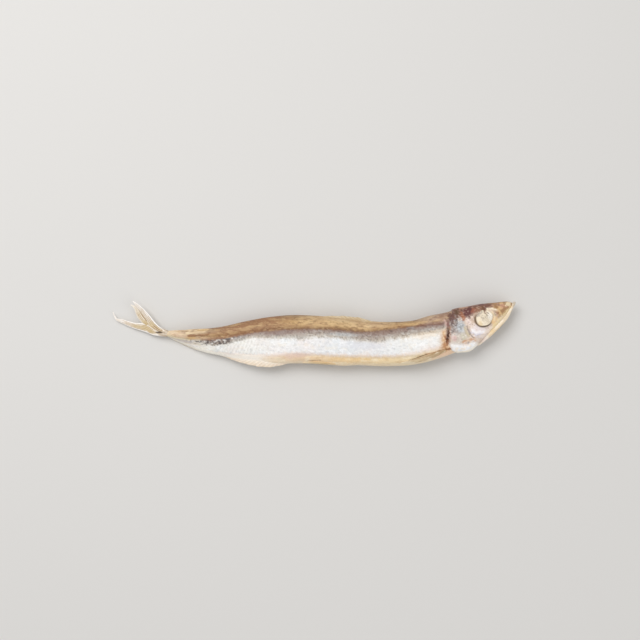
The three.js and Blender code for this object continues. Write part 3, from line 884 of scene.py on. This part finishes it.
def strip(middle, across, half_width, half_thickness, sides, rays=0, ray_depth=0.0, slant=0.0):
    """Rings of a flat strip with ridges, where across it each point lies, and the strip laid out flat."""
    run = np.gradient(middle, axis=0)
    run_length = np.cumsum(np.linalg.norm(run, axis=-1))[:, None]
    through = unit(np.cross(run, across))
    half = sides // 2
    over = np.cos(np.linspace(0, np.pi, half + 1))
    at = np.concatenate([over, over[-2:0:-1]])[None, :]
    face = np.concatenate([np.ones(half + 1), -np.ones(half - 1)])[None, :]
    ridges = np.cos(np.pi * rays * at + slant * run_length)
    swell = (1 - at**4) ** 0.5 * (1 + ray_depth * ridges)
    wide, thick = half_width[:, None] * at, half_thickness[:, None] * face * swell
    rings = middle[:, None] + times(across[:, None], wide) + times(through[:, None], thick)
    flat = np.stack([np.broadcast_to(run_length, wide.shape), wide, thick], -1)
    return rings, np.broadcast_to(at, wide.shape), flat


# Sizes of the lower jaw in millimetres, and its points along and round it.
JAW = SimpleNamespace(
    length=21.0, overhang=0.9, half_width=1.7, half_height=0.85, sunk=0.4, stations=90, sides=36,
)


def make_lower_jaw(material):
    """The lower jaw, sunk into the head behind and standing a little past the snout."""
    t = np.linspace(0, 1, JAW.stations)
    s = section(JAW.length * (1 - t) / BODY_LENGTH)
    taper = (0.35 + 0.65 * np.sqrt(1 - (0.999 * t) ** 2)) * (0.3 + 0.7 * smooth(t, 0, 0.35))
    bulge = 1.7 * np.sin(np.pi * np.sqrt(t)) ** 0.5 - 1
    drop = s.belly_depth + JAW.half_height * bulge - JAW.sunk * taper
    middle = s.middle - times(s.back, drop) + times(s.forward, JAW.overhang * t)
    half_width, half_thickness = JAW.half_width * taper, (JAW.half_height + JAW.sunk) * taper
    rings, at, flat = strip(middle, s.flank, half_width, half_thickness, JAW.sides)
    paint = Paint(flat, (243, 224, 194))
    along = np.broadcast_to(t[:, None], at.shape)
    paint.over((232, 214, 204), 0.9 * fall(along + 0.1 * paint.ragged, 0.12, 0.4))
    paint.flecks((224, 204, 174), 0.7, 1.2, 181, 2, 0)
    paint.flecks((252, 244, 228), 0.6, 0.8, 182, 2)
    paint.flecks((230, 196, 140), 0.6 * within(along, 0.2, 0.8, 0.2), 1.4, 183, 3)
    paint.over((178, 166, 150), 0.7 * smooth(along + 0.15 * paint.ragged, 0.86, 0.97))
    make_piece("lower_jaw", rings, material, paint)


def paint_fin(flat, at, along, rays, colours, edges):
    """Rays over a film. Edges tells how pale each side of the fin is, or below 0 how dark."""
    film, ray, edge, root = colours
    paint = Paint(flat, film)
    lines = np.cos(np.pi * rays * at + 0.8 * paint.drift) + 0.4 * paint.ragged
    paint.over(root, 0.9 * fall(along + 0.1 * paint.ragged, 0.2, 0.6))
    paint.over(ray, 0.85 * smooth(lines, 0, 0.9))
    paint.over(root, 0.75 * smooth(-lines, 0.2, 0.9))
    paint.flecks(edge, 0.75, 0.6, 191, 6)
    paint.flecks(root, 0.7, 0.6, 192, 6)
    for side, amount in zip((-1, 1), edges):
        rim = smooth(side * at + 0.08 * paint.ragged, 0.6, 0.8) * smooth(along, 0.12, 0.32)
        paint.over(edge if amount > 0 else root, abs(amount) * rim)
    paint.over(edge, 0.7 * smooth(along + 0.1 * paint.ragged, 0.6, 1))
    return paint


# Fins along the back and the belly: points, sunk root, slant and sweep of the rays, painted shade of the
# lower face.
EDGE = SimpleNamespace(stations=220, sides=28, sunk=0.5, slant=2 * np.pi / 1.8, sweep=1.9, shade=0.82)


def paint_edge_fin(rings, at, run_length, upward, colours):
    """Slanting rays over a film, with a plain root, a pale rim and painted shade darkening the lower face.
    """
    film, ray, edge, root = colours
    paint = Paint(rings, film)
    slanting = np.cos(np.pi * EDGE.sweep * at + EDGE.slant * run_length)
    paint.over(ray, 0.7 * smooth(slanting + 0.9 * paint.ragged, 0, 0.9))
    paint.over(root, 0.9 * fall(at + 0.3 * paint.ragged, -0.5, 0.3))
    paint.flecks(edge, 0.5, 0.8, 193, 3)
    paint.flecks(root, 0.4, 0.7, 194, 4)
    paint.over(edge, 0.6 * smooth(at + 0.3 * paint.ragged, 0.5, 0.95))
    # painted shade: the lower face a darker copy of the root colour
    paint.over(EDGE.shade * np.array(root), 0.85 * fall(upward, -0.1, 0.6))
    return paint


def make_edge_fin(name, start, end, height, turns, ray_depth, colours, material):
    """A fin dried down along the back or the belly, from its root at one turn to its rim at another."""
    t = np.linspace(0.004, 0.996, EDGE.stations)
    place = end + (start - end) * t
    root, outward, _ = bare_skin(place, np.radians(turns[0]))
    rim, out, _ = bare_skin(place, np.radians(turns[1]))
    swell = np.sin(np.pi * t**1.6) ** 0.8
    torn = 1 + 0.25 * layered_noise(rim * [1, 0.2, 0.2], 1.6, 41)
    root = root - EDGE.sunk * outward
    rim = rim + times(out, height * swell * torn - EDGE.sunk * (1 - swell))
    half_thickness = 0.06 + 0.14 * swell
    half_width = np.linalg.norm(rim - root, axis=-1) / 2
    middle, across = (root + rim) / 2, unit(rim - root)
    ridges = EDGE.sweep, ray_depth, EDGE.slant
    rings, at, flat = strip(middle, across, half_width, half_thickness, EDGE.sides, *ridges)
    upward = np.cos(np.radians(turns[0])) * flat[..., 2] / half_thickness[:, None]
    make_piece(name, rings, material, paint_edge_fin(rings, at, flat[..., 0], upward, colours))


# Fins folded against the belly: their points, their rays, and how pale or dark their edges are.
FOLDED = SimpleNamespace(stations=110, sides=48, rays=5, ray_depth=0.25, proud=0.06, edges=(0.4, -0.6))


def make_paired_fin(name, side, start, end, turns, half_width, colours, material):
    """A pointed fin folded back against the belly, with a dark fold along its upper edge."""
    t = np.linspace(0, 1, FOLDED.stations)
    place = end + (start - end) * t
    turn = np.radians(side * (turns[1] + (turns[0] - turns[1]) * t))
    points, out, _ = skin(place, turn)
    middle = points + FOLDED.proud * out
    across = unit(np.cross(out, section(place).forward))
    width = half_width * np.sin(np.pi * (0.02 + 0.9 * t)) ** 0.8
    half_thickness = 0.06 + 0.18 * np.sin(np.pi * t) ** 0.6
    ridges = FOLDED.rays, FOLDED.ray_depth
    rings, at, flat = strip(middle, across, width, half_thickness, FOLDED.sides, *ridges)
    along = np.broadcast_to(1 - t[:, None], at.shape)
    paint = paint_fin(flat, at, along, FOLDED.rays, colours, FOLDED.edges[::side])
    make_piece(name, rings, material, paint)


# Lobes of the tail: their points and how far they lean, and routes of (behind the trunk's end,
# towards the back, over the floor, half width).
LOBE = SimpleNamespace(stations=150, sides=72, ray_depth=0.22, lean=-20.0)
UPPER_LOBE = (
    (-4.4, -0.9, 2.7, 0.7), (-0.7, 0.2, 2.5, 0.9), (2.5, 1.5, 2.6, 1.3), (5.3, 3.8, 3, 1.7),
    (6.6, 5.8, 3.4, 1.55), (8.7, 8.7, 4, 1.2), (11, 11.3, 4.7, 0.75), (12.7, 13.1, 5.3, 0.15),
)
LOWER_LOBE = (
    (-4.4, -0.9, 2.7, 0.7), (-0.7, -0.7, 2.4, 0.9), (3.6, 0, 2.2, 1.3), (7.9, 2, 1.9, 1.8),
    (12, 2.8, 1.6, 1.3), (14.9, 3.7, 1.4, 1.05), (17.5, 4.7, 1.2, 0.85), (19.7, 5.4, 1.1, 0.5),
    (20.7, 6.9, 1, 0.28), (21.4, 8.5, 1, 0.14),
)
TORN_WEB = (
    (-4.4, -0.9, 2.7, 0.7), (2, 0.7, 2.5, 1), (5.6, 2.7, 2.5, 1.3), (8.1, 4.5, 2.7, 1.2),
    (9.7, 6.45, 3, 1.3), (10.7, 8.3, 3.4, 1.15), (11.6, 10.1, 3.9, 0.8), (13.6, 11.6, 4.4, 0.1),
)


def make_tail_lobe(name, route, rays, edges, colours, material):
    """A lobe of the forked tail, from inside the trunk's end to its thin tip, with painted shade in the
    hollow at its root.
    """
    base = section(np.array(1.0)).middle
    marks = np.linspace(0, 1, len(route))
    t = np.linspace(0, 1, LOBE.stations)
    behind, over, height, width = [keyed(*zip(marks, column))(t) for column in zip(*route)]
    middle = np.stack([base[0] - behind, base[1] + over, height], -1)
    run = unit(np.gradient(middle, axis=0))
    level = unit(np.cross(run, [0, 0, 1]))
    lean = np.radians(LOBE.lean)
    across = level * np.cos(lean) + np.cross(run, level) * np.sin(lean)
    half_thickness = 0.3 * (1 - 0.7 * t) + 0.5 * fall(t, 0.1, 0.32)
    rings, at, flat = strip(middle, across, width, half_thickness, LOBE.sides, rays, LOBE.ray_depth)
    along = np.broadcast_to(t[:, None], at.shape)
    paint = paint_fin(flat, at, along, rays, colours, edges)
    heart = within(along, 0.16, 0.55, 0.14) * fall(np.abs(at), 0.45, 0.75)
    paint.over((208, 182, 124), 0.5 * heart)
    # painted shade: a dark brown pit where the lobes meet the trunk's end
    hollow = np.hypot((base[0] - rings[..., 0] - 1.9) / 1.7, (rings[..., 1] - base[1] - 0.1) / 0.4)
    paint.over((70, 48, 30), 0.9 * fall(hollow + 0.4 * paint.ragged, 0.6, 1.2))
    make_piece(name, rings, material, paint)


# The stage in metres, and the picture in millimetres: its width at a level, and its middle from the snout.
FLOOR_SIZE = 6
FLOOR_GAP = 0.0003
LENS = 85
SENSOR = 36
PICTURE_WIDTH = 263.7
PICTURE_LEVEL = 6
PICTURE_MIDDLE = (79.765, 6.728)


def make_floor():
    bpy.ops.mesh.primitive_plane_add(size=FLOOR_SIZE, location=(0, 0, -FLOOR_GAP))
    floor = bpy.context.object
    floor.name = "floor"
    material, tree, shader = new_material("floor")
    connect(tree, shader, {"Base Color": (*linear((214, 212, 209)), 1), "Roughness": 0.8})
    floor.data.materials.append(material)


def make_light(name, power, size, place):
    lamp = bpy.data.lights.new(name, "AREA")
    lamp.energy = power
    lamp.size = size
    light = add_object(name, lamp)
    light.location = place
    light.rotation_euler = (-Vector(place)).to_track_quat("-Z", "Y").to_euler()


def make_camera():
    """Straight above the fish, with the back up in the picture."""
    data = bpy.data.cameras.new("camera")
    data.lens = LENS
    data.sensor_width = SENSOR
    camera = add_object("camera", data)
    over = PICTURE_LEVEL + PICTURE_WIDTH * LENS / SENSOR
    camera.location = np.array([*(SNOUT - PICTURE_MIDDLE), over]) * MM
    bpy.context.scene.camera = camera


def make_stage():
    make_floor()
    make_camera()
    make_light("key", power=3.9, size=0.5, place=(-0.3, 0.35, 0.65))
    make_light("fill", power=1.5, size=0.7, place=(0.5, -0.3, 0.6))
    world = bpy.data.worlds.new("world")
    bpy.context.scene.world = world
    world.use_nodes = True
    sky = world.node_tree.nodes["Background"]
    connect(world.node_tree, sky, {"Color": (1, 1, 1, 1), "Strength": 0.5})
    bpy.context.scene.view_settings.view_transform = "Standard"


# Colours of the fins: of their film, rays, edges and root.
GREY_FIN = ((194, 170, 132), (208, 187, 152), (213, 196, 166), (178, 148, 108))
TAN_FIN = ((202, 170, 126), (214, 186, 144), (226, 200, 160), (184, 148, 106))
CREAM_FIN = ((246, 230, 210), (235, 208, 179), (246, 228, 202), (250, 238, 222))
GOLD_FIN = ((232, 206, 162), (240, 219, 180), (246, 230, 198), (212, 180, 132))
BREAST_FIN = ((218, 195, 154), (243, 227, 194), (246, 233, 206), (168, 130, 84))
TAIL_FIN = ((222, 206, 186), (242, 233, 222), (254, 250, 246), (186, 162, 128))
WEB_FIN = ((226, 208, 178), (244, 231, 208), (252, 245, 234), (162, 132, 92))

# Fins along the edges: start and end along the body, height, turns of root and rim, ray depth, colours.
EDGE_FINS = (
    ("dorsal_fin", 0.41, 0.6, 1.2, (22, 10), 0.4, GREY_FIN),
    ("adipose_fin", 0.87, 0.94, 0.6, (30, 8), 0.1, TAN_FIN),
    ("anal_fin", 0.645, 0.875, 1.5, (152, 176), 0.4, CREAM_FIN),
)

# Fins of both sides: start and end along the body, turns of root and tip, half width, colours.
PAIRED_FINS = (
    ("pectoral_fin_", 0.222, 0.34, (134, 150), 1.4, BREAST_FIN),
    ("pelvic_fin_", 0.515, 0.61, (160, 164), 0.8, GOLD_FIN),
)

# Lobes of the tail: route, rays, how pale or dark their edges are, colours.
TAIL_LOBES = (
    # The dark edges of the upper lobe and of the torn web are painted shade where the two lie over one
    # another.
    ("tail_upper_lobe", UPPER_LOBE, 5, (-0.8, 0.9), TAIL_FIN),
    ("tail_lower_lobe", LOWER_LOBE, 5, (0.9, 0.7), TAIL_FIN),
    ("tail_torn_web", TORN_WEB, 4, (0.8, -0.8), WEB_FIN),
)
SIDES = ((1, "shown"), (-1, "under"))


def make_fish():
    fin_look = film_material("dried_fin", per_mm=2.6, detail=4, roughness=(0.32, 0.55), strength=0.4)
    eye_look = film_material("clouded_eye", per_mm=1.8, detail=3, roughness=(0.2, 0.4), strength=0.3)
    make_skin(skin_material())
    for side, word in SIDES:
        make_eye("eye_" + word, side, eye_look)
    make_lower_jaw(fin_look)
    for name, *form in EDGE_FINS:
        make_edge_fin(name, *form, fin_look)
    for side, word in SIDES:
        for name, *form in PAIRED_FINS:
            make_paired_fin(name + word, side, *form, fin_look)
    for name, *form in TAIL_LOBES:
        make_tail_lobe(name, *form, fin_look)


make_stage()
make_fish()
